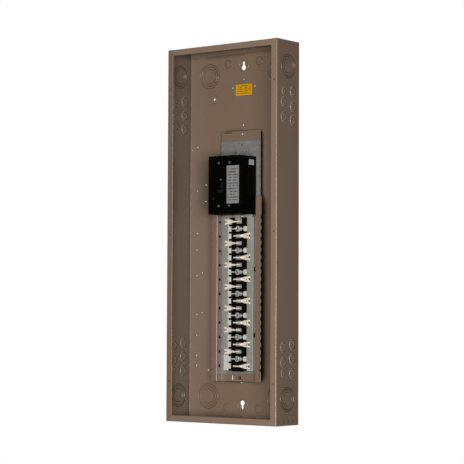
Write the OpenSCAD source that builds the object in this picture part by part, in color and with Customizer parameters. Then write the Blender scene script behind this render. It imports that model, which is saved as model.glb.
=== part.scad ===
// Plug-on load center: open steel box, interior pan with three bus bars and
// branch stabs, and a three-pole main circuit breaker. Millimetres.
// Origin: centre of the box's back face. +Z up, the open front faces -Y.

/* [Box] */
// Outside width of the box
box_w = 363.5; // [350:0.5:380]
// Outside height of the box
box_h = 990.6; // [980:0.1:1000]
// Outside depth of the box
box_d = 98.6; // [96:0.1:110]
// Sheet thickness of the box and the pan
sheet = 1.6; // [1.2:0.1:1.8]
// Outside bend radius of the folded sheet
bend_r = 2.6; // [2.2:0.1:3]
// Width of the front flange along each side
side_flange = 18.7; // [16:0.1:20]
// Height of the front flange at the top and the bottom
end_flange = 16.5; // [14:0.1:18]
// Radius of the trim cover's screw holes
trim_hole_r = 2.3; // [2:0.1:2.5]
// Distance from the box's middle to the upper and lower trim screws
trim_hole_z = 389; // [380:1:395]
// Distance from the centre line to the trim screws
trim_hole_x = 172.5; // [171:0.5:174]

/* [Knockouts] */
// Radius of the outer ring of a large concentric knockout
big_ko_r = 33.5; // [30:0.5:35]
// Radius of a small knockout
small_ko_r = 11.1; // [10:0.1:12]
// Width of the sheared groove
ko_groove = 1.3; // [0.8:0.1:1.6]
// Depth of the sheared groove
ko_depth = 0.6; // [0.3:0.1:0.7]

/* [Pan] */
// Height of the pan's floor above the wall plane
pan_floor = 12; // [11:0.5:13]
// Height of the breaker rails above the wall plane
rail_h = 32; // [30:0.5:33]
// Half width between the pan's side walls
pan_half = 63; // [62.5:0.1:64]
// Half width over the breaker rails
rail_half = 82.5; // [80:0.5:84]
// Top of the pan
pan_top = 275; // [270:1:280]
// Bottom of the pan
pan_bot = -388; // [-390:1:-386]
// Top of the breaker rails
rail_top = 98; // [94:1:100]

/* [Bus] */
// Pitch of the branch breakers
pitch = 19.05; // [19:0.01:19.1]
// Number of branch positions on each side
rows = 21; // [21:1:21]
// Height of the first branch position
row0 = 33.3; // [33:0.1:34]
// Distance from the centre line to the outer bus bars' inner edge
bus_in = 32; // [31.5:0.1:33]
// Width of an outer bus bar
bus_w = 16; // [14:0.5:16]

/* [Main breaker] */
// Width of the breaker case
brk_w = 103; // [102:0.5:104]
// Bottom of the breaker case
brk_z0 = 50.5; // [50:0.1:51]
// Height of the breaker case
brk_h = 153; // [152:0.5:154]
// Front face of the breaker above the wall plane
brk_front = 85; // [84:0.5:86]
// Pole spacing
pole = 34.7; // [34.5:0.1:35]
// Handle travel between off and on, degrees
handle_travel = 36; // [30:1:36]
// Sideways position of the handle
handle_x = -7; // [-7.5:0.1:-6.5]
// Height of the handle pivot
handle_z = 122; // [121.5:0.1:122.5]
// Opening angle of the contact arms, degrees
arm_open = 28; // [24:1:28]

/* [Hidden] */
$fn = 32;
W = box_w; H = box_h; D = box_d; t = sheet;
TAN = [0.47,0.42,0.36]; BLACK = [0.08,0.08,0.08]; TIN = [0.72,0.72,0.70];
ZINC = [0.66,0.68,0.68]; STEEL = [0.6,0.6,0.62]; COPPER = [0.72,0.45,0.3];
PX = [-pole, 0, pole];
plate_t = 1.2;
back_y = -(pan_floor + plate_t);
front_y = -brk_front;
split_y = -47;
brk_z1 = brk_z0 + brk_h;
hw = brk_w/2;
function row_z(k) = row0 - pitch*k;
function bend(p,d1,d2,r,n=5) = [for(i=[0:n]) p - d1*r + d2*r - d2*r*cos(90*i/n) + d1*r*sin(90*i/n)];
L = [-1,0]; R = [1,0]; U = [0,1]; F = [0,-1];

module bx(x0,x1,y0,y1,z0,z1) translate([x0,y0,z0]) cube([x1-x0,y1-y0,z1-z0]);
module ycyl(x,z,y0,y1,r) translate([x,y0,z]) rotate([-90,0,0]) cylinder(r=r,h=y1-y0);
module xcyl(x0,x1,y,z,r) translate([x0,y,z]) rotate([0,90,0]) cylinder(r=r,h=x1-x0);
module zcyl(x,y,z0,z1,r) translate([x,y,z0]) cylinder(r=r,h=z1-z0);
// a sheared ring in a face normal to Y, X or Z
module ring(r,d) difference(){ cylinder(r=r,h=d,$fn=48); translate([0,0,-1]) cylinder(r=r-ko_groove,h=d+2,$fn=48); }
module ring_back(x,z,r) translate([x,-t-1,z]) rotate([-90,0,0]) ring(r,1+ko_depth);
module ring_side(s,y,z,r) translate([s*(W/2-ko_depth),y,z]) rotate([0,s*90,0]) ring(r,2);
module ring_end(s,x,y,r) translate([x,y,s*(H/2-ko_depth)]) rotate([s>0?0:180,0,0]) ring(r,2);
module keyhole(s){ ycyl(0,s*445,-t-1,1,7); bx(-3.3,3.3,-t-1,1,min(s*445,s*458.5),max(s*445,s*458.5)); ycyl(0,s*458.5,-t-1,1,3.3); }

module box_wrapper() color(TAN) difference(){
  translate([0,0,-H/2]) linear_extrude(H) polygon(concat(
    [[-W/2+side_flange,-D]], bend([-W/2,-D],L,U,bend_r), bend([-W/2,0],U,R,bend_r),
    bend([W/2,0],R,F,bend_r), bend([W/2,-D],F,L,bend_r), [[W/2-side_flange,-D],[W/2-side_flange,-D+t]],
    bend([W/2-t,-D+t],R,U,bend_r-t), bend([W/2-t,-t],U,L,bend_r-t),
    bend([-W/2+t,-t],L,F,bend_r-t), bend([-W/2+t,-D+t],F,R,bend_r-t), [[-W/2+side_flange,-D+t]]));
  for(s=[-1,1]) {
    keyhole(s);
    for(z=[-trim_hole_z,0,trim_hole_z]) ycyl(s*trim_hole_x,z,-D-1,-D+t+1,trim_hole_r);
    ycyl(s*99,366.7,-t-1,1,3.2);
    ycyl(s*37,393,-t-1,1,1.8);
    for(z=[6.9,-37.8,-107.4,-212,-268,-322.5,-349.4]) ycyl(s*157.2,z,-t-1,1,1.7);
    ycyl(s*116.2,-361,-t-1,1,1.8);
    ycyl(s*156.2,121.3,-t-1,1,1.7);
    ycyl(s*156.2,240.1,-t-1,1,1.7);
    ycyl(s*174,233.7,-t-1,1,1.7);
    ycyl(s*127.5,137.2,-t-1,1,1.8);
    ycyl(s*127.5,92.8,-t-1,1,1.8);
    ycyl(s*138,-100.2,-t-1,1,1.6);
    ycyl(s*139,-206.9,-t-1,1,1.6);
    for(v=[-1,1]) {
      for(r=[big_ko_r, big_ko_r-6.5, big_ko_r-13]) { ring_back(s*115.5,v*430,r); ring_side(s,-50,v*428,r-1.5); }
      for(z=[334,295]) ring_side(s,-68,v*z,small_ko_r);
      for(z=[358,319,283]) ring_side(s,-26,v*z,small_ko_r);
    }
    ring_back(s*52,459,small_ko_r);
  }
  ycyl(91.5,-298,-t-1,1,1.9);
  ycyl(91.5,-342.3,-t-1,1,1.9);
  ycyl(0,414,-t-1,1,1.7);
  ycyl(0,291.4,-t-1,1,1.9);
  ycyl(-3.3,-391.5,-t-1,1,1.7);
  ycyl(166,230,-D-1,-D+t+1,1.2);
}

module end_wall(s) color(TAN) difference(){
  translate([-W/2+t,0,0]) rotate([90,0,90]) linear_extrude(W-2*t) polygon(
    s>0 ? concat([[-D,H/2-end_flange]], bend([-D,H/2],U,R,bend_r), bend([-t,H/2],R,F,bend_r), [[-t,H/2-12],[-2*t,H/2-12]],
       bend([-2*t,H/2-t],U,L,bend_r-t), bend([-D+t,H/2-t],L,F,bend_r-t), [[-D+t,H/2-end_flange]])
    : concat([[-D,-H/2+end_flange],[-D+t,-H/2+end_flange]], bend([-D+t,-H/2+t],F,R,bend_r-t), bend([-2*t,-H/2+t],R,U,bend_r-t),
       [[-2*t,-H/2+12],[-t,-H/2+12]], bend([-t,-H/2],F,L,bend_r), bend([-D,-H/2],L,U,bend_r)));
  for(q=[-1,1]) bx(min(q*(W/2-side_flange-0.3),q*W),max(q*(W/2-side_flange-0.3),q*W),-D-1,-D+t+0.02,min(s*H,s*(H/2-end_flange-1)),max(s*H,s*(H/2-end_flange-1)));
  for(r=[big_ko_r, big_ko_r-6.5, big_ko_r-13]) for(x=[-105,0,105]) ring_end(s,x,-50,r);
  for(x=[-152,-58,58,152]) ring_end(s,x,-30,small_ko_r);
  for(x=[-58,58]) ring_end(s,x,-66,small_ko_r);
}
module top_end_wall() end_wall(1);
module bottom_end_wall() end_wall(-1);

module caution_label() color([0.85,0.68,0.1]) bx(-26,28,-t-0.3,-t,371,400.5);

module interior_pan() color(TAN) difference(){
  union(){
    translate([0,0,pan_bot]) linear_extrude(rail_top-pan_bot) polygon(concat(
      [[-rail_half,-rail_h]], bend([-pan_half,-rail_h],R,U,bend_r), bend([-pan_half,-pan_floor],U,R,bend_r-t),
      bend([pan_half,-pan_floor],R,F,bend_r-t), bend([pan_half,-rail_h],F,R,bend_r), [[rail_half,-rail_h],[rail_half,-rail_h+t]],
      bend([pan_half+t,-rail_h+t],L,U,bend_r-t), bend([pan_half+t,-pan_floor+t],U,L,bend_r),
      bend([-pan_half-t,-pan_floor+t],L,F,bend_r), bend([-pan_half-t,-rail_h+t],F,L,bend_r-t), [[-rail_half,-rail_h+t]]));
    bx(-pan_half-t,pan_half+t,-pan_floor,-pan_floor+t,rail_top-1,pan_top);
    bx(-pan_half-t,-pan_half,-pan_floor+t/2,-t,207,pan_top);
    bx(-pan_half-11,-pan_half,-2*t,-t,207,pan_top);
  }
  for(q=[-1,1]) {
    for(k=[0:rows]) ycyl(q*(rail_half+2.3),row0+pitch/2-pitch*k,-rail_h-1,-rail_h+t+1,5.3);
    for(k=[0:2:rows-1]) xcyl(q>0?pan_half-1:-pan_half-t-1,q>0?pan_half+t+1:-pan_half+1,-21,row_z(k),2.4);
    ycyl(q*17.3,218,-pan_floor-1,-pan_floor+t+1,2.4);
    for(z=[72,185]) ycyl(q*17.3,z,-pan_floor-1,-pan_floor+t+1,2.55);
    ycyl(q*78,-358,-rail_h-1,-rail_h+t+1,1.8);
  }
  ycyl(8,266,-pan_floor-1,-pan_floor+t+1,2.6);
  ycyl(0,-379,-pan_floor-1,-pan_floor+t+1,2.6);
  ycyl(3,237,-pan_floor-1,-pan_floor+t+1,2.2);
  bx(-58,-31,-pan_floor-1,-pan_floor+t+1,271,273);
  bx(-27.6,-26.2,-pan_floor-1,-pan_floor+t+1,-384,-373);
}
module pan_standoffs() color(STEEL) for(p=[[8,266],[0,-379]]) difference(){ ycyl(p[0],p[1],-pan_floor+t,-t,5); ycyl(p[0],p[1],-pan_floor+t-1,-t+1,2.6); }
module pan_screws() color(STEEL) for(p=[[8,266],[0,-379]]) difference(){
  union(){ ycyl(p[0],p[1],-pan_floor-2.6,-pan_floor,4.6); ycyl(p[0],p[1],-pan_floor-0.5,-t-0.2,2.5); }
  bx(p[0]-3.6,p[0]+3.6,-pan_floor-3,-pan_floor-1.4,p[1]-0.6,p[1]+0.6); bx(p[0]-0.6,p[0]+0.6,-pan_floor-3,-pan_floor-1.4,p[1]-3.6,p[1]+3.6);
}
module pan_plate() color(ZINC) difference(){
  union(){ bx(-61.6,61.6,back_y,-pan_floor,-368,rail_top+1); bx(-pan_half-t,pan_half+t,back_y,-pan_floor,rail_top+0.5,247); }
  for(q=[-1,1]) { ycyl(q*17.3,218,back_y-1,-pan_floor+1,2.4); for(z=[72,185]) ycyl(q*17.3,z,back_y-1,-pan_floor+1,2.55); }
  ycyl(3,237,back_y-1,-pan_floor+1,2.2);
  bx(57.5,70,back_y-1,-pan_floor+1,rail_top-3,rail_top+2.5);
  for(z=[-40,-212]) ycyl(-52.5,z,back_y-1,-pan_floor+1,2);
  for(z=[-93,-266]) ycyl(55,z,back_y-1,-pan_floor+1,2);
}

module bus_insulator() color(BLACK) difference(){
  union(){
    bx(-45,45,-17,back_y,-359,44);
    for(k=[0:rows]) bx(-30,30,-24,-16.5,row0+pitch/2-pitch*k-1.1,row0+pitch/2-pitch*k+1.1);
  }
  bx(-8.2,8.2,-20.2,-17,-345,60);
  bx(-8.2,8.2,-25,-17,37.5,45);
}
module bus_supports() color([0.75,0.77,0.74]) {
  union(){ bx(-47,-31,-23,-17,-359,44); for(k=[0:rows-1]) bx(-32,-24.8,-21.5,-17,row_z(k)-6.6,row_z(k)+6.6); }
  union(){ bx(31,47,-23,-17,-359,44); for(k=[0:rows-1]) if(k%3!=0) bx(16.4,32,-21.5,-17,row_z(k)-6.6,row_z(k)+6.6); }
}
module bus_bar_a() color(TIN) bx(-bus_in-bus_w,-bus_in,-26,-23,row_z(18)-9,44);
module bus_bar_c() color(TIN) bx(bus_in,bus_in+bus_w,-26,-23,row_z(20)-9,44);
module bus_bar_b() color(TIN) difference(){
  bx(-8,8,-20,-17,row_z(19)-9,44);
  for(k=[1:3:19]) ycyl(0,row_z(k),-21,-16,2.2);
}
module stab_side(z) difference(){
  union(){
    translate([0,-26,z]) rotate([90,0,0]) linear_extrude(2.2) polygon([[-41,-7.4],[-30,-6.4],[-20,-4.4],[-14,-2.6],[-9,-2.6],[-9,2.6],[-14,2.6],[-20,4.4],[-30,6.4],[-41,7.4],[-41,3.4],[-37,1],[-37,-1],[-41,-3.4]]);
    bx(-16,10,-30.5,-21,z-1.7,z+1.7);
  }
  ycyl(-33.8,z,-29,-25.9,1.7);
  bx(-3.4,-1.4,-31,-26.5,z-3,z+3);
}
module stabs_a() color(TIN) for(k=[0:3:18]) stab_side(row_z(k));
module stabs_c() color(TIN) for(k=[2:3:20]) mirror([1,0,0]) stab_side(row_z(k));
module stabs_b() color(TIN) for(k=[1:3:19]) difference(){
  union(){ ycyl(0,row_z(k),-26,-20,7.6); for(q=[-1,1]) bx(q>0?6:-17,q>0?15:-6,-30.5,-21,row_z(k)-1.7,row_z(k)+1.7); }
  ycyl(0,row_z(k),-27,-19,2.2);
  ycyl(0,row_z(k),-31,-26,7.2);
}
module stab_screws() color(STEEL) for(k=[1:3:19]) difference(){
  union(){ ycyl(0,row_z(k),-29.2,-26,5.2); ycyl(0,row_z(k),-26.5,-17.2,2.15); }
  bx(-4,4,-30,-27.8,row_z(k)-0.6,row_z(k)+0.6); bx(-0.6,0.6,-30,-27.8,row_z(k)-4,row_z(k)+4);
}
module load_strap_a() color(TIN) difference(){ bx(-48,-19,-26,-23,44,66); ycyl(-pole,59,-27,-22,3); }
module load_strap_c() color(TIN) difference(){ bx(19,48,-26,-23,44,66); ycyl(pole,59,-27,-22,3); }
module load_strap_b() color(TIN) difference(){
  union(){ bx(-15.5,15.5,-26,-23,44.2,66); bx(-8,8,-26,-20,38,44.5); }
  ycyl(0,59,-27,-22,3);
}
module strap_screws() color(STEEL) for(x=PX) { ycyl(x,59,-30.5,-26,5.2); ycyl(x,59,-26.5,-20.5,2.9); }

// pole chambers of the case between y0 and y1
module chambers(y0,y1) for(x=PX) bx(x-16.1,x+16.1,y0,y1,brk_z0+3,brk_z1-3);
module case_bosses(y0,y1) for(q=[-1,1]) for(z=[72,185]) ycyl(q*17.3,z,y0,y1,5.2);
module case_holes(y0,y1,r) for(q=[-1,1]) for(z=[72,185]) ycyl(q*17.3,z,y0,y1,r);
module breaker_base() color(BLACK) difference(){
  union(){
    difference(){ bx(-hw,hw,split_y,back_y,brk_z0,brk_z1); chambers(split_y-1,back_y-3); }
    bx(-hw-1.6,hw+1.6,split_y,back_y-4,77,177);
    case_bosses(split_y,back_y-2);
  }
  chambers2(split_y-1,back_y-3);
  case_holes(split_y-1,back_y+1,2.6);
  xcyl(-hw+3,hw-3,-32,112,8.6);
  bx(-hw+3,hw-3,split_y-1,-40.3,77.5,90.5);
  for(x=PX) zcyl(x,-38,brk_z1-4,brk_z1+1,8.5);
  for(x=PX) bx(x-15.7,x+15.7,-26.3,-22.7,brk_z0-1,brk_z0+4);
}
// chambers again, kept clear of the screw bosses
module chambers2(y0,y1) for(x=PX) difference(){ bx(x-16.1,x+16.1,y0,y1,brk_z0+3,brk_z1-3); case_bosses(y0-1,y1+1); }
module breaker_cover() color(BLACK) difference(){
  union(){
    difference(){ bx(-hw,hw,front_y,split_y,brk_z0,brk_z1); chambers2(front_y+3,split_y+1); }
    bx(-hw-1.6,hw+1.6,front_y+6,split_y,77,177);
    bx(handle_x-11.5,handle_x+11.5,front_y-4,front_y,handle_z-19,handle_z+25);
  }
  chambers2(front_y+3,split_y+1);
  bx(handle_x-8.2,handle_x+8.2,front_y-5,front_y+4,handle_z-15,handle_z+15);
  bx(-11,11,split_y-1,split_y+1,100,150);
  case_holes(front_y-1,split_y+1,2.6);
  case_holes(front_y-1,front_y+2.8,3.8);
  xcyl(-hw+3,hw-3,-44,84,4.4);
  bx(-hw+3,hw-3,split_y-3.2,split_y+1,79,101);
  for(x=PX) ycyl(x,190,front_y-1,front_y+4,5.5);
  ycyl(-pole,92,front_y-1,front_y+4,3.75);
  for(x=PX) bx(x+5,x+13,front_y-1,front_y+9,brk_z1-5,brk_z1+1);
  for(x=PX) bx(x-12,x+12,front_y-1,front_y+5,brk_z0-1,brk_z0+7);
}
module mounting_screws() color(STEEL) for(q=[-1,1]) for(z=[72,185]) difference(){
  union(){ ycyl(q*17.3,z,front_y+0.2,front_y+2.8,3.4); ycyl(q*17.3,z,front_y+2.5,-pan_floor+t+0.6,2.5); }
  bx(q*17.3-2.8,q*17.3+2.8,front_y-1,front_y+1.3,z-0.5,z+0.5);
}
module breaker_nameplate() color([0.85,0.85,0.85]) bx(9.6,49.6,front_y-0.3,front_y,77.5,176.5);
module side_sticker() color([0.85,0.85,0.85]) bx(hw,hw+0.3,-44.5,-23.5,180.5,194);
module position_marker() color([0.8,0.8,0.8]) bx(handle_x-3.6,handle_x+3.6,front_y-4.3,front_y-4,handle_z+17,handle_z+20);
module line_lugs() color([0.7,0.7,0.72]) for(x=PX) difference(){
  bx(x-10,x+10,-49,-27,178,199); zcyl(x,-38,177,200,7.2); ycyl(x,190,-50,-38,3.6); }
module lug_screws() color(STEEL) for(x=PX) difference(){ ycyl(x,190,-57,-45.6,3.5); ycyl(x,190,-58,-54,1.9); }
module line_terminals() color(COPPER) for(x=PX) { bx(x-8,x+8,-27,-24,150,199); bx(x-4,x+4,-29.4,-27,156,164.5); }
module load_terminals() color(COPPER) for(x=PX) difference(){ bx(x-8,x+8,-23,-20,54,100); ycyl(x,59,-24,-19,3); }
module arc_chute_frames() color([0.5,0.3,0.2]) for(x=PX) for(q=[-1,1]) bx(x+(q>0?13.2:-14.4),x+(q>0?14.4:-13.2),-61,-31,141,173);
module arc_chutes() color(STEEL) for(x=PX) for(i=[1:6]) difference(){
  bx(x-13.2,x+13.2,-65+i*4.9,-63.8+i*4.9,142,172); bx(x-5,x+5,-70,-20,141,167); }
module mechanism_frame() color(STEEL) for(q=[-1,1]) difference(){
  bx(q>0?12:-16,q>0?13.2:-15.1,-66,back_y-3,98,138);
  xcyl(-20,20,-58,handle_z,2.04); xcyl(-20,20,-32,112,8.6);
}
module handle_pin() color(STEEL) xcyl(-16,13.2,-58,handle_z,2);
module cradle() color(STEEL) for(q=[-1,1]) bx(q>0?9.6:-10.8,q>0?10.8:-9.6,-44,-34,123,136);
module latch() color(STEEL) bx(-4,4,-40,-37,88.5,99);
module trip_magnets() color(STEEL) for(x=PX) difference(){ bx(x-8,x+8,-35,-23,66.2,80); bx(x-5.5,x+5.5,-36,-26,65,81); }
module bimetals() color(COPPER) for(x=PX) { bx(x-4,x+4,-33,-31.8,66.5,97); bx(x-4,x+4,-31.8,-26,66.5,69.5); }
module braids() color(COPPER) for(x=PX) bx(x-3,x+3,-26,-23,88,99);

// moving pieces, drawn in the off position
module about(y,z,a) translate([0,y,z]) rotate([a,0,0]) translate([0,-y,-z]) children();
module handle() color(BLACK) about(-58,handle_z,handle_travel/2) translate([handle_x,0,0]) difference(){
  union(){
    intersection(){
      difference(){ xcyl(-7.7,7.7,-58,handle_z,23.2); xcyl(-9,9,-58,handle_z,20.6); }
      bx(-9,9,-100,-72,handle_z-28,handle_z+28);
    }
    bx(-5,5,-79,-58,handle_z-3.5,handle_z+3.5);
    bx(-5.4,5.4,-96,-78,handle_z-4.2,handle_z+4.2);
    xcyl(-7.7,7.7,-58,handle_z,5);
  }
  xcyl(-10,10,-58,handle_z,2.06);
}
module toggle_spring() color(STEEL) about(-58,handle_z,handle_travel/2) for(x=[handle_x-5.4,handle_x+1]) for(i=[0:3])
  translate([x,-52.6+i*1.9,handle_z]) rotate([-90,0,0]) difference(){ cylinder(r=2.2,h=1.9+0.01*(i%2)); translate([0,0,-1]) cylinder(r=1.4,h=4); }
module crossbar() color(BLACK) about(-32,112,arm_open) difference(){
  union(){ xcyl(-47,47,-32,112,6); for(x=PX) bx(x-5,x+5,-39,-32,106,122); }
  for(x=PX) bx(x-2.6,x+2.6,-36.1,-31.9,100,130);
}
module contact_arms() color(COPPER) about(-32,112,arm_open) for(x=PX) union(){ bx(x-2.5,x+2.5,-36,-32,107,166); bx(x-3.5,x+3.5,-32,-29.8,157,164); }
module toggle_links() color(STEEL) about(-32,112,arm_open) for(q=[-1,1]) bx(q>0?3:-4.2,q>0?4.2:-3,-45,-39,110,115);
module trip_bar() color([0.3,0.3,0.3]) union(){ xcyl(-47.5,47.5,-44,84,3.2); bx(-pole-4,-pole+4,-48.6,-46.4,84,96); bx(-pole-4,-pole+4,-47,-44,83,85.5); }
module trip_button() color([0.2,0.2,0.2]) union(){ ycyl(-pole,92,front_y-1.6,-50.6,3.4); ycyl(-pole,92,front_y+4.4,front_y+6.4,5); }

box_wrapper();
top_end_wall();
bottom_end_wall();
caution_label();
interior_pan();
pan_standoffs();
pan_screws();
pan_plate();
bus_insulator();
bus_supports();
bus_bar_a();
bus_bar_b();
bus_bar_c();
stabs_a();
stabs_b();
stabs_c();
stab_screws();
load_strap_a();
load_strap_b();
load_strap_c();
strap_screws();
breaker_base();
breaker_cover();
mounting_screws();
breaker_nameplate();
side_sticker();
position_marker();
line_lugs();
lug_screws();
line_terminals();
load_terminals();
arc_chutes();
arc_chute_frames();
mechanism_frame();
handle_pin();
cradle();
latch();
trip_magnets();
bimetals();
braids();
handle();
toggle_spring();
crossbar();
contact_arms();
toggle_links();
trip_bar();
trip_button();
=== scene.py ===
import bpy, bmesh, math
from mathutils import Vector, Matrix, Euler


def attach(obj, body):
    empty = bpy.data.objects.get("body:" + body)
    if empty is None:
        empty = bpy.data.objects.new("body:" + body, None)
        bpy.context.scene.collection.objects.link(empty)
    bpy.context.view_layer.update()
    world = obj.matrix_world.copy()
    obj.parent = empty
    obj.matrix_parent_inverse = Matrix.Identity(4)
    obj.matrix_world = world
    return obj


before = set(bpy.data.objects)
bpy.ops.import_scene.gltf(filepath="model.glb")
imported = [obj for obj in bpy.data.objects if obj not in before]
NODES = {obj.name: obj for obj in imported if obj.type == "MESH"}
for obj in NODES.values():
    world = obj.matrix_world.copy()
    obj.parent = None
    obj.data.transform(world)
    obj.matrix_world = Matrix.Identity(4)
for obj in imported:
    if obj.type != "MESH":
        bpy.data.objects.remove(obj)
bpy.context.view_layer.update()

scene = bpy.context.scene
scene.view_settings.view_transform = "Standard"
scene.view_settings.look = "None"
MM = 0.001

# ------------------------------------------------------------------ camera
cam_data = bpy.data.cameras.new("camera")
cam = bpy.data.objects.new("camera", cam_data)
scene.collection.objects.link(cam)
cam_data.sensor_width = 36.0
cam_data.lens = 1755.935 / 464 * 36.0
cam_data.clip_start = 0.05
cam_data.clip_end = 60
yaw, pitch, roll = math.radians(37.923), math.radians(2.82), math.radians(-0.243)
M = Matrix.Rotation(yaw, 3, "Z") @ Matrix.Rotation(pitch, 3, "X") @ Matrix.Rotation(roll, 3, "Y")
right, fwd, up = M.col[0], M.col[1], M.col[2]
R3 = Matrix((right, up, -fwd)).transposed()
cam.matrix_world = Matrix.Translation((2.8338, -3.6866, -0.2224)) @ R3.to_4x4()
scene.camera = cam

# ------------------------------------------------------------------ helpers
def new_mat(name):
    m = bpy.data.materials.new(name)
    m.use_nodes = True
    nt = m.node_tree
    for n in list(nt.nodes):
        nt.nodes.remove(n)
    out = nt.nodes.new("ShaderNodeOutputMaterial")
    b = nt.nodes.new("ShaderNodeBsdfPrincipled")
    nt.links.new(b.outputs["BSDF"], out.inputs["Surface"])
    return m, nt, b

def N(nt, kind, **kw):
    n = nt.nodes.new(kind)
    for k, v in kw.items():
        if k in ("inputs",):
            for kk, vv in v.items():
                n.inputs[kk].default_value = vv
        else:
            setattr(n, k, v)
    return n

def coords(nt, scale=(1, 1, 1)):
    tc = N(nt, "ShaderNodeTexCoord")
    mp = N(nt, "ShaderNodeMapping")
    mp.inputs["Scale"].default_value = scale
    nt.links.new(tc.outputs["Object"], mp.inputs["Vector"])
    return mp.outputs["Vector"]

def ramp(nt, src, stops):
    r = N(nt, "ShaderNodeValToRGB")
    el = r.color_ramp.elements
    while len(el) < len(stops):
        el.new(0.5)
    for e, (p, c) in zip(el, stops):
        e.position = p
        e.color = (c[0], c[1], c[2], 1) if hasattr(c, "__len__") else (c, c, c, 1)
    nt.links.new(src, r.inputs["Fac"])
    return r.outputs["Color"]

def mul(c, k):
    return tuple(max(0.0, min(1.0, x * k)) for x in c)

def rgb(c):
    return (c[0], c[1], c[2], 1.0)

def painted_ao_shade(nt, b, x_lo, x_hi, reach=0.034, lo=0.45, hi=0.80, floor=0.01, fold=True, z=(-0.6, 0.6)):
    """Painted shade: darkens the colour deep in the narrow gaps between sheets, where ambient occlusion is high, inside
    a band of X and optionally Z.
    """
    old = b.inputs["Base Color"].links[0].from_socket
    ao = N(nt, "ShaderNodeAmbientOcclusion", samples=8)
    ao.inputs["Distance"].default_value = reach
    f = ramp(nt, ao.outputs["AO"], [(lo, floor), (hi, 1.0)])
    tc = N(nt, "ShaderNodeTexCoord")
    sp = N(nt, "ShaderNodeSeparateXYZ")
    nt.links.new(tc.outputs["Object"], sp.inputs[0])
    ax = N(nt, "ShaderNodeMath", operation="ABSOLUTE" if fold else "ADD")
    ax.inputs[1].default_value = 0.0
    nt.links.new(sp.outputs["X"], ax.inputs[0])
    g1 = N(nt, "ShaderNodeMath", operation="GREATER_THAN")
    g1.inputs[1].default_value = x_lo
    g2 = N(nt, "ShaderNodeMath", operation="LESS_THAN")
    g2.inputs[1].default_value = x_hi
    g3 = N(nt, "ShaderNodeMath", operation="MULTIPLY")
    nt.links.new(ax.outputs[0], g1.inputs[0])
    nt.links.new(ax.outputs[0], g2.inputs[0])
    nt.links.new(g1.outputs[0], g3.inputs[0])
    nt.links.new(g2.outputs[0], g3.inputs[1])
    if z != (-0.6, 0.6):
        gz = N(nt, "ShaderNodeMapRange", interpolation_type="SMOOTHSTEP")
        ab = N(nt, "ShaderNodeMath", operation="SUBTRACT")
        nt.links.new(sp.outputs["Z"], ab.inputs[0])
        ab.inputs[1].default_value = (z[0] + z[1]) / 2
        az = N(nt, "ShaderNodeMath", operation="ABSOLUTE")
        nt.links.new(ab.outputs[0], az.inputs[0])
        nt.links.new(az.outputs[0], gz.inputs["Value"])
        gz.inputs["From Min"].default_value = (z[1] - z[0]) / 2
        gz.inputs["From Max"].default_value = (z[1] - z[0]) / 2 + 0.07
        gz.inputs["To Min"].default_value = 1.0
        gz.inputs["To Max"].default_value = 0.0
        g4 = N(nt, "ShaderNodeMath", operation="MULTIPLY")
        nt.links.new(g3.outputs[0], g4.inputs[0])
        nt.links.new(gz.outputs["Result"], g4.inputs[1])
        fx = N(nt, "ShaderNodeMapRange", interpolation_type="SMOOTHSTEP")
        nt.links.new(sp.outputs["X"], fx.inputs["Value"])
        fx.inputs["From Min"].default_value = x_lo
        fx.inputs["From Max"].default_value = x_lo + 0.085
        g5 = N(nt, "ShaderNodeMath", operation="MULTIPLY")
        nt.links.new(g4.outputs[0], g5.inputs[0])
        nt.links.new(fx.outputs["Result"], g5.inputs[1])
        g3 = g5
    mx = N(nt, "ShaderNodeMix", data_type="RGBA", blend_type="MULTIPLY")
    nt.links.new(g3.outputs[0], mx.inputs["Factor"])
    nt.links.new(old, mx.inputs[6])
    nt.links.new(f, mx.inputs[7])
    nt.links.new(mx.outputs[2], b.inputs["Base Color"])

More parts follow.
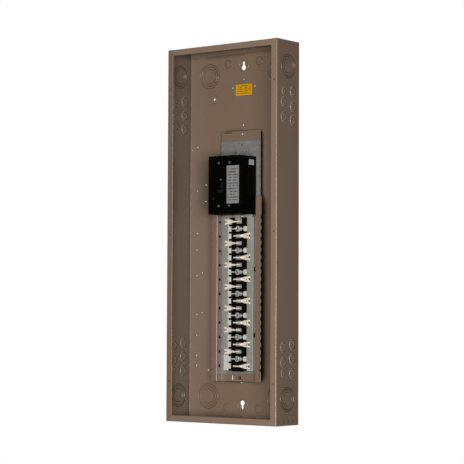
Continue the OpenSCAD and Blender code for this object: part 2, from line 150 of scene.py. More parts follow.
def surface(name, base, rough=0.5, rough_var=0.08, metallic=0.0, var=0.12, big=9.0, fine=900.0, bump=0.15,
            bump_dist=0.00015, edge=0.0006, wear=None, wear_amt=0.5, stretch=(1, 1, 1), coat=0.0, spec=0.5, dust=0.0):
    """A finish with slow colour drift, fine grain, softened edges and worn or dusty edges."""
    m, nt, b = new_mat(name)
    v = coords(nt, stretch)
    slow = N(nt, "ShaderNodeTexNoise", inputs={"Scale": big, "Detail": 3.0, "Roughness": 0.55})
    nt.links.new(v, slow.inputs["Vector"])
    col = ramp(nt, slow.outputs["Fac"], [(0.25, mul(base, 1 - var)), (0.75, mul(base, 1 + var))])
    grain = N(nt, "ShaderNodeTexNoise", inputs={"Scale": fine, "Detail": 4.0, "Roughness": 0.6})
    nt.links.new(v, grain.inputs["Vector"])
    mix = N(nt, "ShaderNodeMix", data_type="RGBA", blend_type="MULTIPLY")
    mix.inputs["Factor"].default_value = 0.35
    g = ramp(nt, grain.outputs["Fac"], [(0.3, 0.82), (0.7, 1.0)])
    nt.links.new(col, mix.inputs[6])
    nt.links.new(g, mix.inputs[7])
    last = mix.outputs[2]
    bev = N(nt, "ShaderNodeBevel", samples=4)
    bev.inputs["Radius"].default_value = edge
    if wear is not None:
        wide = N(nt, "ShaderNodeBevel", samples=4)
        wide.inputs["Radius"].default_value = edge * 2.2
        geo = N(nt, "ShaderNodeNewGeometry")
        dot = N(nt, "ShaderNodeVectorMath", operation="DOT_PRODUCT")
        nt.links.new(wide.outputs["Normal"], dot.inputs[0])
        nt.links.new(geo.outputs["True Normal"], dot.inputs[1])
        chips = N(nt, "ShaderNodeTexNoise", inputs={"Scale": 260.0, "Detail": 5.0, "Roughness": 0.7})
        nt.links.new(v, chips.inputs["Vector"])
        inv = N(nt, "ShaderNodeMath", operation="SUBTRACT")
        inv.inputs[0].default_value = 1.0
        nt.links.new(dot.outputs["Value"], inv.inputs[1])
        pr = N(nt, "ShaderNodeMath", operation="MULTIPLY")
        nt.links.new(inv.outputs[0], pr.inputs[0])
        cr = ramp(nt, chips.outputs["Fac"], [(0.48, 0.0), (0.62, 1.0)])
        nt.links.new(cr, pr.inputs[1])
        sc = N(nt, "ShaderNodeMath", operation="MULTIPLY", use_clamp=True)
        sc.inputs[1].default_value = wear_amt * 6
        nt.links.new(pr.outputs[0], sc.inputs[0])
        wm = N(nt, "ShaderNodeMix", data_type="RGBA")
        nt.links.new(sc.outputs[0], wm.inputs["Factor"])
        nt.links.new(last, wm.inputs[6])
        wm.inputs[7].default_value = rgb(wear)
        last = wm.outputs[2]
    if dust > 0:
        dn = N(nt, "ShaderNodeTexNoise", inputs={"Scale": 28.0, "Detail": 6.0, "Roughness": 0.7})
        nt.links.new(v, dn.inputs["Vector"])
        dr = ramp(nt, dn.outputs["Fac"], [(0.5, 0.0), (0.8, dust)])
        dm = N(nt, "ShaderNodeMix", data_type="RGBA")
        nt.links.new(dr, dm.inputs["Factor"])
        nt.links.new(last, dm.inputs[6])
        dm.inputs[7].default_value = (0.28, 0.26, 0.23, 1)
        last = dm.outputs[2]
    nt.links.new(last, b.inputs["Base Color"])
    rr = ramp(nt, slow.outputs["Fac"], [(0.3, max(0.03, rough - rough_var)), (0.7, min(1.0, rough + rough_var))])
    nt.links.new(rr, b.inputs["Roughness"])
    b.inputs["Metallic"].default_value = metallic
    b.inputs["Specular IOR Level"].default_value = spec
    b.inputs["Coat Weight"].default_value = coat
    bp = N(nt, "ShaderNodeBump")
    bp.inputs["Strength"].default_value = bump
    bp.inputs["Distance"].default_value = bump_dist
    nt.links.new(grain.outputs["Fac"], bp.inputs["Height"])
    nt.links.new(bev.outputs["Normal"], bp.inputs["Normal"])
    nt.links.new(bp.outputs["Normal"], b.inputs["Normal"])
    return m

def galvanised(name, base=(0.37, 0.375, 0.365)):
    """Hot-dip zinc: spangle crystals of a few millimetres, each with its own tone and gloss."""
    m, nt, b = new_mat(name)
    v = coords(nt)
    warp = N(nt, "ShaderNodeTexNoise", inputs={"Scale": 120.0, "Detail": 2.0})
    nt.links.new(v, warp.inputs["Vector"])
    add = N(nt, "ShaderNodeVectorMath", operation="MULTIPLY_ADD")
    nt.links.new(warp.outputs["Color"], add.inputs[0])
    add.inputs[1].default_value = (0.004, 0.004, 0.004)
    nt.links.new(v, add.inputs[2])
    vor = N(nt, "ShaderNodeTexVoronoi", inputs={"Scale": 170.0})
    nt.links.new(add.outputs["Vector"], vor.inputs["Vector"])
    sep = N(nt, "ShaderNodeSeparateColor")
    nt.links.new(vor.outputs["Color"], sep.inputs["Color"])
    col = ramp(nt, sep.outputs[0], [(0.0, mul(base, 0.9)), (0.5, base), (1.0, mul(base, 1.08))])
    nt.links.new(col, b.inputs["Base Color"])
    nt.links.new(ramp(nt, sep.outputs[1], [(0.0, 0.46), (1.0, 0.56)]), b.inputs["Roughness"])
    b.inputs["Metallic"].default_value = 0.75
    bev = N(nt, "ShaderNodeBevel", samples=4)
    bev.inputs["Radius"].default_value = 0.0004
    fine = N(nt, "ShaderNodeTexNoise", inputs={"Scale": 1400.0, "Detail": 3.0})
    nt.links.new(v, fine.inputs["Vector"])
    bp = N(nt, "ShaderNodeBump")
    bp.inputs["Strength"].default_value = 0.12
    bp.inputs["Distance"].default_value = 0.0001
    nt.links.new(fine.outputs["Fac"], bp.inputs["Height"])
    nt.links.new(bev.outputs["Normal"], bp.inputs["Normal"])
    nt.links.new(bp.outputs["Normal"], b.inputs["Normal"])
    return m

TAN = (0.165, 0.118, 0.086)
M_TAN = surface("tan_paint", TAN, rough=0.30, rough_var=0.04, var=0.045, big=4.0, fine=1500.0, bump=0.35,
                bump_dist=0.00012, edge=0.0009, wear=(0.30, 0.25, 0.21), wear_amt=0.10, spec=0.5, dust=0.05)
M_BLACK = surface("black_insulator", (0.0022, 0.0018, 0.0016), spec=0.06, rough=0.5, var=0.15, fine=1800, bump=0.3, edge=0.0004, wear=(0.03, 0.03, 0.03), wear_amt=0.2, dust=0.0)
M_CASE = surface("breaker_case", (0.0015, 0.0017, 0.0010), rough=0.5, rough_var=0.05, var=0.12, big=25, fine=2200, bump=0.45, bump_dist=0.0001, edge=0.0007, wear=(0.03, 0.03, 0.03), wear_amt=0.25, spec=0.012, dust=0.0)
M_HANDLE = surface("handle_black", (0.007, 0.007, 0.006), rough=0.42, var=0.1, fine=2000, bump=0.15, edge=0.0008, wear=(0.05, 0.05, 0.05), wear_amt=0.4, spec=0.25)
M_TIN = surface("tinned_bus", (0.46, 0.44, 0.40), rough=0.45, rough_var=0.08, metallic=0.6, var=0.1, big=30, fine=700, bump=0.18, edge=0.0004, wear=(0.55, 0.40, 0.28), wear_amt=0.35, stretch=(1, 1, 0.15))
M_STAB = surface("stab_metal", (0.90, 0.83, 0.76), rough=0.36, rough_var=0.1, metallic=0.35, var=0.12, big=60, fine=900, bump=0.15, edge=0.0004, wear=(0.62, 0.36, 0.24), wear_amt=0.9)
M_STEEL = surface("zinc_steel", (0.60, 0.60, 0.60), rough=0.32, rough_var=0.1, metallic=0.9, var=0.1, big=90, fine=1500, bump=0.1, edge=0.0003, wear=(0.4, 0.38, 0.34), wear_amt=0.4)
M_ZINC = galvanised("galvanised")
M_PALE = surface("pale_insulator", (0.46, 0.475, 0.44), rough=0.5, var=0.06, fine=1600, bump=0.2, edge=0.0004, wear=(0.5, 0.5, 0.48), wear_amt=0.2, dust=0.05)
M_COPPER = surface("copper", (0.72, 0.36, 0.22), rough=0.35, metallic=0.95, var=0.12, fine=900, bump=0.1, edge=0.0003, wear=(0.85, 0.55, 0.4), wear_amt=0.5, stretch=(1, 1, 0.2))
M_FIBRE = surface("fibre", (0.22, 0.07, 0.035), rough=0.8, var=0.15, fine=1500, bump=0.4, edge=0.0002)
M_LUG = surface("lug_aluminium", (0.68, 0.68, 0.69), rough=0.38, metallic=0.95, var=0.06, fine=800, bump=0.2, edge=0.0005, stretch=(1, 1, 0.1))

def label_mat(name, paper, ink, rows=14, ink_amt=0.3, size=(0.04, 0.099), origin=(0, 0), axis="XZ", blocks=True):
    """A printed sticker: rules and small blocks in rows, no letters."""
    m, nt, b = new_mat(name)
    tc = N(nt, "ShaderNodeTexCoord")
    sep = N(nt, "ShaderNodeSeparateXYZ")
    nt.links.new(tc.outputs["Object"], sep.inputs[0])
    a0 = sep.outputs["X"] if axis[0] == "X" else sep.outputs["Y"]
    a1 = sep.outputs["Z"]
    def norm(src, o, s):
        x = N(nt, "ShaderNodeMath", operation="SUBTRACT"); x.inputs[1].default_value = o
        nt.links.new(src, x.inputs[0])
        y = N(nt, "ShaderNodeMath", operation="DIVIDE"); y.inputs[1].default_value = s
        nt.links.new(x.outputs[0], y.inputs[0])
        return y.outputs[0]
    u, w = norm(a0, origin[0], size[0]), norm(a1, origin[1], size[1])
    comb = N(nt, "ShaderNodeCombineXYZ")
    nt.links.new(u, comb.inputs[0]); nt.links.new(w, comb.inputs[1])
    br = N(nt, "ShaderNodeTexBrick", offset=0.37, squash=1.0)
    br.inputs["Scale"].default_value = 1.0
    br.inputs["Brick Width"].default_value = 0.31
    br.inputs["Row Height"].default_value = 1.0 / rows
    br.inputs["Mortar Size"].default_value = 0.012
    br.inputs["Bias"].default_value = 0.1
    br.inputs["Color1"].default_value = (1, 1, 1, 1)
    br.inputs["Color2"].default_value = (0.55, 0.55, 0.55, 1)
    br.inputs["Mortar"].default_value = (1, 1, 1, 1)
    nt.links.new(comb.outputs[0], br.inputs["Vector"])
    # thin rules inside each row
    wv = N(nt, "ShaderNodeMath", operation="MULTIPLY"); wv.inputs[1].default_value = rows * 1.5
    nt.links.new(w, wv.inputs[0])
    fr = N(nt, "ShaderNodeMath", operation="FRACT"); nt.links.new(wv.outputs[0], fr.inputs[0])
    lt = N(nt, "ShaderNodeMath", operation="LESS_THAN"); lt.inputs[1].default_value = 0.42
    nt.links.new(fr.outputs[0], lt.inputs[0])
    nz = N(nt, "ShaderNodeTexNoise", inputs={"Scale": 5.5, "Detail": 3.0})
    nt.links.new(comb.outputs[0], nz.inputs["Vector"])
    nr = ramp(nt, nz.outputs["Fac"], [(0.42, 0.0), (0.5, 1.0)])
    mm = N(nt, "ShaderNodeMath", operation="MULTIPLY"); nt.links.new(lt.outputs[0], mm.inputs[0]); nt.links.new(nr, mm.inputs[1])
    # clean margin
    def band(src):
        a = N(nt, "ShaderNodeMath", operation="SUBTRACT"); a.inputs[1].default_value = 0.5; nt.links.new(src, a.inputs[0])
        c = N(nt, "ShaderNodeMath", operation="ABSOLUTE"); nt.links.new(a.outputs[0], c.inputs[0])
        d = N(nt, "ShaderNodeMath", operation="LESS_THAN"); d.inputs[1].default_value = 0.42; nt.links.new(c.outputs[0], d.inputs[0])
        return d.outputs[0]
    m1 = N(nt, "ShaderNodeMath", operation="MULTIPLY"); nt.links.new(band(u), m1.inputs[0]); nt.links.new(band(w), m1.inputs[1])
    m2 = N(nt, "ShaderNodeMath", operation="MULTIPLY"); nt.links.new(m1.outputs[0], m2.inputs[0]); nt.links.new(mm.outputs[0], m2.inputs[1])
    m3 = N(nt, "ShaderNodeMath", operation="MULTIPLY"); m3.inputs[1].default_value = ink_amt; nt.links.new(m2.outputs[0], m3.inputs[0])
    base = N(nt, "ShaderNodeMix", data_type="RGBA", blend_type="MULTIPLY")
    base.inputs["Factor"].default_value = 0.12
    base.inputs[6].default_value = rgb(paper)
    nt.links.new(br.outputs["Color"], base.inputs[7])
    mx = N(nt, "ShaderNodeMix", data_type="RGBA")
    nt.links.new(m3.outputs[0], mx.inputs["Factor"])
    nt.links.new(base.outputs[2], mx.inputs[6])
    mx.inputs[7].default_value = rgb(ink)
    nt.links.new(mx.outputs[2], b.inputs["Base Color"])
    rn = N(nt, "ShaderNodeTexNoise", inputs={"Scale": 60.0}); nt.links.new(tc.outputs["Object"], rn.inputs["Vector"])
    nt.links.new(ramp(nt, rn.outputs["Fac"], [(0.3, 0.5), (0.7, 0.62)]), b.inputs["Roughness"])
    b.inputs["Specular IOR Level"].default_value = 0.2
    bp = N(nt, "ShaderNodeBump"); bp.inputs["Strength"].default_value = 0.1; bp.inputs["Distance"].default_value = 0.0001
    nt.links.new(rn.outputs["Fac"], bp.inputs["Height"]); nt.links.new(bp.outputs["Normal"], b.inputs["Normal"])
    return m

M_PLATE = label_mat("nameplate_print", (0.20, 0.202, 0.195), (0.02, 0.02, 0.02), rows=9, ink_amt=0.8, size=(0.040, 0.099), origin=(0.0096, 0.0775))
M_STICK = label_mat("side_sticker_print", (0.36, 0.36, 0.355), (0.04, 0.04, 0.04), rows=2, ink_amt=0.8, size=(0.021, 0.0135), origin=(-0.0445, 0.1805), axis="YZ")
M_YEL = label_mat("yellow_label_print", (0.52, 0.27, 0.001), (0.06, 0.035, 0.003), rows=4, ink_amt=0.85, size=(0.054, 0.0295), origin=(-0.026, 0.371))

def use(node, m):
    o = NODES[node]
    me = o.data
    if len(me.materials) == 0:
        me.materials.append(m)
    for i in range(len(me.materials)):
        me.materials[i] = m

for n in ("box_wrapper", "top_end_wall", "bottom_end_wall", "interior_pan"): use(n, M_TAN)
for n in ("pan_standoffs", "pan_screws", "stab_screws", "strap_screws", "mounting_screws", "lug_screws", "arc_chutes",
          "mechanism_frame", "handle_pin", "cradle", "latch", "trip_magnets", "toggle_spring", "toggle_links"): use(n, M_STEEL)
use("pan_plate", M_ZINC)
for n in ("bus_bar_a", "bus_bar_b", "bus_bar_c", "load_strap_a", "load_strap_b", "load_strap_c"): use(n, M_TIN)
use("stabs_a", M_STAB); use("stabs_c", M_STAB)
M_STAB_MID = surface("stab_metal_dull", (0.55, 0.56, 0.53), rough=0.4, rough_var=0.1, metallic=0.5, var=0.14, big=60, fine=900, bump=0.15, edge=0.0004, wear=(0.45, 0.36, 0.28), wear_amt=0.6)
use("stabs_b", M_STAB_MID)
use("bus_insulator", M_BLACK); use("bus_supports", M_PALE)
for n in ("breaker_base", "breaker_cover", "crossbar"): use(n, M_CASE)
for n in ("handle", "trip_bar", "trip_button"): use(n, M_HANDLE)
for n in ("line_terminals", "load_terminals", "bimetals", "braids", "contact_arms"): use(n, M_COPPER)
use("arc_chute_frames", M_FIBRE); use("line_lugs", M_LUG)
use("caution_label", M_YEL); use("breaker_nameplate", M_PLATE); use("side_sticker", M_STICK)
M_MARK = surface("marker_grey", (0.10, 0.10, 0.098), rough=0.5, var=0.1, fine=2500, bump=0.1, edge=0.0002, spec=0.2)
M_DULL = surface("dull_screw", (0.20, 0.20, 0.195), rough=0.45, rough_var=0.1, metallic=0.8, var=0.15, big=120, fine=1500, bump=0.1, edge=0.0003, wear=(0.4, 0.38, 0.34), wear_amt=0.4)
use("position_marker", M_MARK)
use("mounting_screws", M_DULL)

# ------------------------------------------------------------------ mesh tools (mm in, metres out)
def finish_mesh(name, bm, mat, body="enclosure", smooth=False):
    bmesh.ops.recalc_face_normals(bm, faces=bm.faces)
    me = bpy.data.meshes.new(name)
    bm.to_mesh(me)
    bm.free()
    o = bpy.data.objects.new(name, me)
    scene.collection.objects.link(o)
    me.materials.append(mat)
    if smooth:
        for p in me.polygons:
            p.use_smooth = True
    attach(o, body)
    return o

def lathe(bm, profile, at, axis, seg=56, a0=0.0, a1=2 * math.pi):
    """profile: closed list of (radius, height) in mm, spun about axis through at (mm)."""
    ax = Vector(axis).normalized()
    ref = Vector((0, 0, 1)) if abs(ax.z) < 0.9 else Vector((1, 0, 0))
    e1 = (ref - ax * ref.dot(ax)).normalized()
    e2 = ax.cross(e1)
    full = abs((a1 - a0) - 2 * math.pi) < 1e-6
    n = seg if full else seg + 1
    ringv = []
    for i in range(n):
        a = a0 + (a1 - a0) * i / seg
        d = e1 * math.cos(a) + e2 * math.sin(a)
        ringv.append([bm.verts.new((Vector(at) + d * r + ax * h) * MM) for r, h in profile])
    m = len(profile)
    for i in range(seg):
        j = (i + 1) % n
        for k in range(m):
            l = (k + 1) % m
            bm.faces.new((ringv[i][k], ringv[j][k], ringv[j][l], ringv[i][l]))
    if not full:
        bm.faces.new(ringv[0]); bm.faces.new(list(reversed(ringv[-1])))

def step_ring(bm, at, axis, r_out, r_in, h, soft=0.5):
    """A raised half-sheared ring with softened shoulders, foot just inside the sheet."""
    lathe(bm, [(r_out, -0.05), (r_out - 0.05, h - soft * 0.5), (r_out - soft, h), (r_in + soft, h), (r_in + 0.05, h - soft * 0.5), (r_in, -0.05)], at, axis)


# ------------------------------------------------------------------ the painted sheet, with its sheared rings and weld marks
def box_paint(name, side_rings, back_rings, end_rings=()):
    """Tan powder coat whose height follows concentric sheared rings at set places on the sheet, with painted shade
    along the ring grooves and painted highlight crescents beside the single rings.
    """
    m = surface(name, TAN, rough=0.30, rough_var=0.04, var=0.04, big=3.5, fine=1500.0, bump=0.35, bump_dist=0.00012,
                edge=0.0022, wear=(0.30, 0.25, 0.21), wear_amt=0.03, spec=0.5, dust=0.04)
    nt = m.node_tree
    b = next(n for n in nt.nodes if n.type == "BSDF_PRINCIPLED")
    tc = N(nt, "ShaderNodeTexCoord")
    sp = N(nt, "ShaderNodeSeparateXYZ")
    nt.links.new(tc.outputs["Object"], sp.inputs[0])
    X, Y, Z = sp.outputs
    def op(kind, a, c=None, clamp=False):
        n = N(nt, "ShaderNodeMath", operation=kind, use_clamp=clamp)
        for i, q in enumerate((a, c)):
            if q is None:
                continue
            if isinstance(q, (int, float)):
                n.inputs[i].default_value = q
            else:
                nt.links.new(q, n.inputs[i])
        return n.outputs[0]
    aX, aZ = op("ABSOLUTE", X), op("ABSOLUTE", Z)
    on_side = op("GREATER_THAN", aX, 0.1795)
    on_end = op("GREATER_THAN", aZ, 0.4935)
    on_back = op("MULTIPLY", op("GREATER_THAN", Y, -0.0021), op("SUBTRACT", 1.0, on_side))
    on_back = op("MULTIPLY", on_back, op("SUBTRACT", 1.0, on_end))
    def dist(p, pc, q, qc):
        dp, dq = op("SUBTRACT", p, pc * MM), op("SUBTRACT", q, qc * MM)
        return op("SQRT", op("ADD", op("MULTIPLY", dp, dp), op("MULTIPLY", dq, dq)))
    height, shade, painted_ring_highlight = None, None, None
    def add_rings(d, radii, mask, lands, front=None):
        nonlocal height, shade, painted_ring_highlight
        # painted highlight crescents: outside the ring on its front half, inside it on its back half
        if front is not None:
            r = radii[0]
            e = op("ABSOLUTE", op("SUBTRACT", d, (r + 1.3) * MM))
            g = op("MULTIPLY", op("MULTIPLY", op("SUBTRACT", 1.0, op("DIVIDE", e, 0.0024), True), mask), front)
            painted_ring_highlight = g if painted_ring_highlight is None else op("MAXIMUM", painted_ring_highlight, g)
            e = op("ABSOLUTE", op("SUBTRACT", d, (r - 2.9) * MM))
            g = op("MULTIPLY", op("MULTIPLY", op("SUBTRACT", 1.0, op("DIVIDE", e, 0.0018), True), mask), op("MULTIPLY", op("SUBTRACT", 1.0, front), 0.8))
            painted_ring_highlight = op("MAXIMUM", painted_ring_highlight, g)
        for r in radii:
            e = op("ABSOLUTE", op("SUBTRACT", d, (r - 0.65) * MM))
            g = op("MULTIPLY", op("SUBTRACT", 1.0, op("DIVIDE", e, 0.0010), True), mask)
            shade = g if shade is None else op("MAXIMUM", shade, g)
        for lo, hi, amt in lands:
            a = op("MULTIPLY", op("SUBTRACT", d, lo * MM), 520.0)
            c = op("MULTIPLY", op("SUBTRACT", hi * MM, d), 520.0)
            h = op("MULTIPLY", op("MINIMUM", op("MINIMUM", a, 1.0), op("MAXIMUM", c, 0.0)), mask, True)
            h = op("MULTIPLY", h, amt)
            height = h if height is None else op("ADD", height, h)
    for (pc, qc, radii, lands) in side_rings:
        add_rings(dist(Y, pc, aZ, qc), radii, on_side, lands, op("LESS_THAN", Y, (pc - 1.5) * MM) if len(radii) == 1 else None)
    for (pc, qc, radii, lands) in back_rings:
        add_rings(dist(aX, pc, aZ, qc), radii, on_back, lands)
    for (pc, qc, radii, lands) in end_rings:
        add_rings(dist(aX, pc, Y, qc), radii, on_end, lands)
    # row of spot-weld marks where the end walls meet the sides
    m4 = op("ABSOLUTE", op("SUBTRACT", op("MODULO", op("ADD", Y, 0.118), 0.020), 0.010))
    dz = op("SUBTRACT", aZ, 0.4845)
    wd = op("SQRT", op("ADD", op("MULTIPLY", m4, m4), op("MULTIPLY", dz, dz)))
    weld = op("MULTIPLY", op("MULTIPLY", op("SUBTRACT", 0.0034, wd), 900.0, True), on_side)
    total = op("ADD", height, op("MULTIPLY", weld, 0.7)) if height is not None else weld
    # colour: painted shade along the ring grooves, darker weld marks, painted highlight crescents beside the single
    # rings
    old = b.inputs["Base Color"].links[0].from_socket
    mx = N(nt, "ShaderNodeMix", data_type="RGBA", blend_type="MULTIPLY")
    dark = op("MULTIPLY", op("MAXIMUM", shade, op("MULTIPLY", weld, 0.35)) if shade is not None else weld, 0.46)
    nt.links.new(dark, mx.inputs["Factor"])
    nt.links.new(old, mx.inputs[6])
    mx.inputs[7].default_value = (0.16, 0.15, 0.14, 1)
    last = mx.outputs[2]
    # painted highlight: lighter tan crescents beside the single knockout rings
    if painted_ring_highlight is not None:
        rm = N(nt, "ShaderNodeMix", data_type="RGBA")
        nt.links.new(op("MULTIPLY", painted_ring_highlight, 0.85), rm.inputs["Factor"])
        nt.links.new(last, rm.inputs[6])
        rm.inputs[7].default_value = (0.36, 0.31, 0.26, 1)
        last = rm.outputs[2]
    nt.links.new(last, b.inputs["Base Color"])
    bump = b.inputs["Normal"].links[0].from_node
    big = N(nt, "ShaderNodeBump")
    big.inputs["Strength"].default_value = 0.9
    big.inputs["Distance"].default_value = 0.0016
    nt.links.new(total, big.inputs["Height"])
    src = bump.inputs["Normal"].links[0].from_socket
    nt.links.new(src, big.inputs["Normal"])
    nt.links.new(big.outputs["Normal"], bump.inputs["Normal"])
    return m

RB = [33.5, 27.0, 20.5]
BIG = [(26.5, 33.0, 0.5), (-9.0, 20.5, -0.5)]
SMALL = [(-9.0, 11.6, 0.5)]
STRONG = [(-9.0, 12.0, 2.0)]
side = [(-50, 428, [32.0, 25.5, 19.0], [(25.0, 31.5, 1.9), (-9.0, 19.0, -1.9)])]
side += [(-68, z, [11.1], STRONG) for z in (334, 295)]
side += [(-29, z, [11.1], STRONG) for z in (363, 324.5, 288.5)]
side += [(-68, 361, [7.5], [(-9.0, 8.0, 1.2)])]
back = [(115.5, 430, RB, BIG), (52, 459, [11.1], SMALL)]
M_BOX = box_paint("tan_paint_box", side, back)
ends = [(x, -50, RB, BIG) for x in (0, 105)] + [(x, -30, [11.1], SMALL) for x in (58, 152)] + [(58, -66, [11.1], SMALL)]
M_END = box_paint("tan_paint_ends", [], [], ends)
def shader_of(m):
    return next(n for n in m.node_tree.nodes if n.type == "BSDF_PRINCIPLED")

# painted shade on the back sheet in the gaps right and left of the pan
painted_ao_shade(M_BOX.node_tree, shader_of(M_BOX), 0.0, 0.125, hi=0.66, fold=False)
painted_ao_shade(M_BOX.node_tree, shader_of(M_BOX), -0.125, 0.0, hi=0.80, fold=False)
# painted shadow of the breaker on the back sheet, to its left
painted_ao_shade(M_BOX.node_tree, shader_of(M_BOX), -0.178, 0.0, reach=0.12, lo=0.40, hi=1.0, floor=0.14, fold=False, z=(0.095, 0.170))
# painted shade in the left wall's corners
painted_ao_shade(M_BOX.node_tree, shader_of(M_BOX), -0.182, -0.1792, reach=0.022, lo=0.45, hi=0.92, floor=0.62, fold=False)
# painted shade on the pan's rails, deepest under their flanges
painted_ao_shade(M_TAN.node_tree, shader_of(M_TAN), 0.0638, 0.0815, hi=0.70)
def tone(m, gain, **spans):
    """Multiply the paint's tone inside a slab of the part, given in millimetres per axis."""
    nt, b = m.node_tree, shader_of(m)
    old = b.inputs["Base Color"].links[0].from_socket
    tc = N(nt, "ShaderNodeTexCoord")
    sp = N(nt, "ShaderNodeSeparateXYZ")
    nt.links.new(tc.outputs["Object"], sp.inputs[0])
    last = None
    for ax, (lo, hi) in spans.items():
        c = N(nt, "ShaderNodeMath", operation="COMPARE")
        nt.links.new(sp.outputs[ax], c.inputs[0])
        c.inputs[1].default_value = (lo + hi) / 2 * MM
        c.inputs[2].default_value = (hi - lo) / 2 * MM
        if last is not None:
            p = N(nt, "ShaderNodeMath", operation="MULTIPLY")
            nt.links.new(last, p.inputs[0])
            nt.links.new(c.outputs[0], p.inputs[1])
            last = p.outputs[0]
        else:
            last = c.outputs[0]
    mx = N(nt, "ShaderNodeMix", data_type="RGBA", blend_type="MULTIPLY")
    nt.links.new(last, mx.inputs["Factor"])
    nt.links.new(old, mx.inputs[6])
    mx.inputs[7].default_value = (gain[0], gain[1], gain[2], 1)
    nt.links.new(mx.outputs[2], b.inputs["Base Color"])

tone(M_BOX, (1.24, 1.26, 1.28), Y=(-99, -98.1), X=(-165, 190))   # front flanges: painted light, lighter than the rest of the sheet
# painted light: the end walls' front flanges lighter too
tone(M_END, (1.22, 1.24, 1.26), Y=(-99, -98.1))
tone(M_BOX, (0.69, 0.68, 0.66), X=(-180.5, -179.4), Y=(-96.5, 0))   # left wall, inside: painted shade, darker all over
tone(M_STEEL, (0.25, 0.25, 0.25), Z=(-390, -372), X=(-8, 8))
tone(M_TAN, (1.0, 1.22, 1.45), X=(-63.6, -61.9), Y=(-32, -13.2))
use("box_wrapper", M_BOX)
use("top_end_wall", M_END)
use("bottom_end_wall", M_END)

# ------------------------------------------------------------------ embossings round the hanging holes
for s in (1, -1):
    bm = bmesh.new()
    lathe(bm, [(17.5, 0.2), (17.2, 0.5), (16.2, 1.0), (15.2, 1.0), (14.2, 0.5), (13.9, 0.2)], (0, -1.45, s * 451), (0, -1, 0))
    finish_mesh("keyhole_emboss_%s" % ("top" if s > 0 else "bottom"), bm, M_TAN, smooth=True)
    for q in (1, -1):
        if s > 0:
            bm = bmesh.new()
            lathe(bm, [(12.5, 0.1), (12.2, 0.35), (11.6, 0.6), (11.0, 0.35), (10.7, 0.1)], (q * 99, -1.5, 366.7), (0, -1, 0))
            finish_mesh("wall_hole_emboss_%s" % ("right" if q > 0 else "left"), bm, M_TAN, smooth=True)

# ------------------------------------------------------------------ bus area
def block(bm, x0, x1, y0, y1, z0, z1, ch=0.5):
    """A box in mm with its front edges chamfered (front is -Y)."""
    a = [(x0, y1, z0), (x1, y1, z0), (x1, y1, z1), (x0, y1, z1)]
    m = [(x0, y0 + ch, z0), (x1, y0 + ch, z0), (x1, y0 + ch, z1), (x0, y0 + ch, z1)]
    f = [(x0 + ch, y0, z0 + ch), (x1 - ch, y0, z0 + ch), (x1 - ch, y0, z1 - ch), (x0 + ch, y0, z1 - ch)]
    vs = [[bm.verts.new(Vector(q) * MM) for q in r_] for r_ in (a, m, f)]
    bm.faces.new(vs[0])
    bm.faces.new(vs[2])
    for u, w in ((0, 1), (1, 2)):
        for k in range(4):
            l = (k + 1) % 4
            bm.faces.new((vs[u][k], vs[u][l], vs[w][l], vs[w][k]))

def row(k):
    return 33.3 - 19.05 * k

bm = bmesh.new()
for k in range(22):
    zc = 33.3 + 9.525 - 19.05 * k
    if k == 0:
        continue
    lo, hi = zc - 4.4, zc + 4.4
    block(bm, -19.3, 19.3, -24.3, -20.25, lo, hi, 0.9)
    block(bm, -31.0, -19.3, -23.3, -16.9, zc - 2.5, zc + 2.5, 0.6)
    block(bm, 19.3, 31.0, -23.3, -16.9, zc - 2.5, zc + 2.5, 0.6)
finish_mesh("insulator_barriers", bm, M_BLACK)

# thin black strips as painted shade in the gaps at the outer stabs' ends, and hold-down rivets of the outer stabs
bm = bmesh.new()
bm2 = bmesh.new()
for k in range(21):
    side_ = -1 if k % 3 == 0 else (1 if k % 3 == 2 else 0)
    if side_:
        block(bm, min(side_ * 37.2, side_ * 40.9), max(side_ * 37.2, side_ * 40.9), -26.35, -25.9, row(k) - 3.0, row(k) + 3.0, 0.1)
        lathe(bm2, [(1.9, -0.2), (1.9, 0.3), (1.2, 0.6), (0.0001, 0.7), (0.0001, -0.2)], (side_ * 33.8, -28.15, row(k)), (0, -1, 0), 18)
finish_mesh("stab_end_gap_shade", bm, M_BLACK)
finish_mesh("stab_rivets", bm2, M_DULL)

# dark insulating sleeves between the lobes and the middle stabs
bm = bmesh.new()
for k in range(21):
    block(bm, -24.5, -17.6, -20.6, -16.9, row(k) - 6.0, row(k) + 6.0, 0.4)
    if k % 3 == 0:
        block(bm, 12.0, 30.5, -22.3, -16.9, row(k) - 6.2, row(k) + 6.2, 0.8)
finish_mesh("insulator_sleeves", bm, M_BLACK)

# plugs in the pan's left wall, and on the plate
bm = bmesh.new()
for k in range(0, 21, 2):
    lathe(bm, [(3.9, -0.3), (3.9, 0.4), (3.3, 0.8), (0.0001, 0.8), (0.0001, -0.3)], (-62.95, -21, row(k)), (1, 0, 0), 24)
for z in (-93, -266):
    lathe(bm, [(5.6, -0.2), (5.6, 2.4), (4.6, 3.4), (0.0001, 3.4), (0.0001, -0.2)], (48.6, -13.15, z), (0, -1, 0), 32)
for z in (-40, -212):
    lathe(bm, [(2.4, -0.2), (2.4, 0.5), (2.0, 0.8), (0.0001, 0.8), (0.0001, -0.2)], (-52.5, -13.15, z), (0, -1, 0), 20)
finish_mesh("wall_plugs", bm, M_BLACK)

# lanced tab at the pan's foot, screw on the middle strap
bm = bmesh.new()
block(bm, -26.1, -23.9, -13.4, -11.9, -384, -373.5, 0.3)
finish_mesh("pan_foot_tab", bm, M_STEEL)
bm = bmesh.new()
lathe(bm, [(3.0, -0.2), (3.0, 1.0), (2.2, 1.7), (0.0001, 1.9), (0.0001, -0.2)], (12.6, -25.6, 47.0), (0, -1, 0), 24)
finish_mesh("strap_screw_small", bm, M_STEEL, smooth=False)

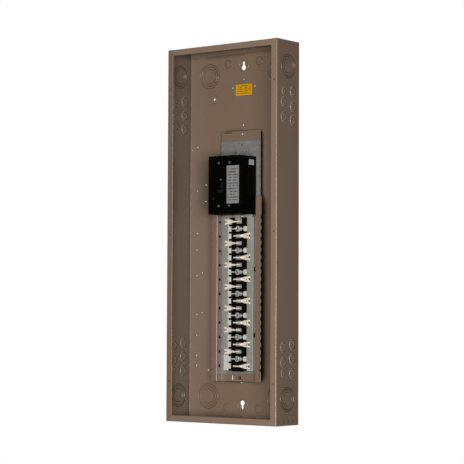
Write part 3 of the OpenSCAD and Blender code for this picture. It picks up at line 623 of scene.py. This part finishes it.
# ------------------------------------------------------------------ light and surroundings
world = bpy.data.worlds.new("world")
scene.world = world
world.use_nodes = True
wn = world.node_tree
for n in list(wn.nodes):
    wn.nodes.remove(n)
wo = wn.nodes.new("ShaderNodeOutputWorld")
lp = wn.nodes.new("ShaderNodeLightPath")
b1 = wn.nodes.new("ShaderNodeBackground")
b2 = wn.nodes.new("ShaderNodeBackground")
b1.inputs["Color"].default_value = (1, 0.985, 0.965, 1)
b1.inputs["Strength"].default_value = 0.03
b2.inputs["Color"].default_value = (1, 1, 1, 1)
b2.inputs["Strength"].default_value = 1.0
mxs = wn.nodes.new("ShaderNodeMixShader")
wn.links.new(lp.outputs["Is Camera Ray"], mxs.inputs[0])
wn.links.new(b1.outputs[0], mxs.inputs[1])
wn.links.new(b2.outputs[0], mxs.inputs[2])
wn.links.new(mxs.outputs[0], wo.inputs["Surface"])

def area(name, at, to, size, power, color=(1, 1, 1), size_y=None):
    d = bpy.data.lights.new(name, "AREA")
    d.energy = power
    d.color = color
    d.size = size
    if size_y:
        d.shape = "RECTANGLE"
        d.size_y = size_y
    o = bpy.data.objects.new(name, d)
    scene.collection.objects.link(o)
    o.location = at
    o.rotation_euler = (Vector(to) - Vector(at)).to_track_quat("-Z", "Y").to_euler()
    return o

# two weak lamps behind the box, for its back, left side and ends; the back sheet keeps them off everything seen from the front
for nm, at, pw in (("rear_upper", (-2.0, 2.9, 1.6), 170), ("rear_lower", (-1.6, 2.9, -2.2), 90)):
    lamp = area(nm, at, (0, 0, 0), 1.6, pw, (1.0, 0.975, 0.95))
    lamp.visible_camera = False
    lamp.visible_glossy = False

# plain pale floor under the box, the same white as the surroundings; it takes no part in the lighting
fm = bpy.data.meshes.new("floor")
fm.from_pydata([(-9, -9, -0.4958), (9, -9, -0.4958), (9, 9, -0.4958), (-9, 9, -0.4958)], [], [(0, 1, 2, 3)])
floor = bpy.data.objects.new("floor", fm)
scene.collection.objects.link(floor)
m, nt, b = new_mat("floor_white")
b.inputs["Base Color"].default_value = (0, 0, 0, 1)
b.inputs["Specular IOR Level"].default_value = 0.0
b.inputs["Emission Color"].default_value = (1, 1, 1, 1)
b.inputs["Emission Strength"].default_value = 1.0
fm.materials.append(m)
for ray in ("visible_diffuse", "visible_glossy", "visible_transmission", "visible_shadow", "visible_volume_scatter"):
    setattr(floor, ray, False)

area("softbox", (2.294, -3.277, -0.15), (0, -0.04, -0.05), 3.05, 243, (1.0, 0.957, 0.918), 1.6)
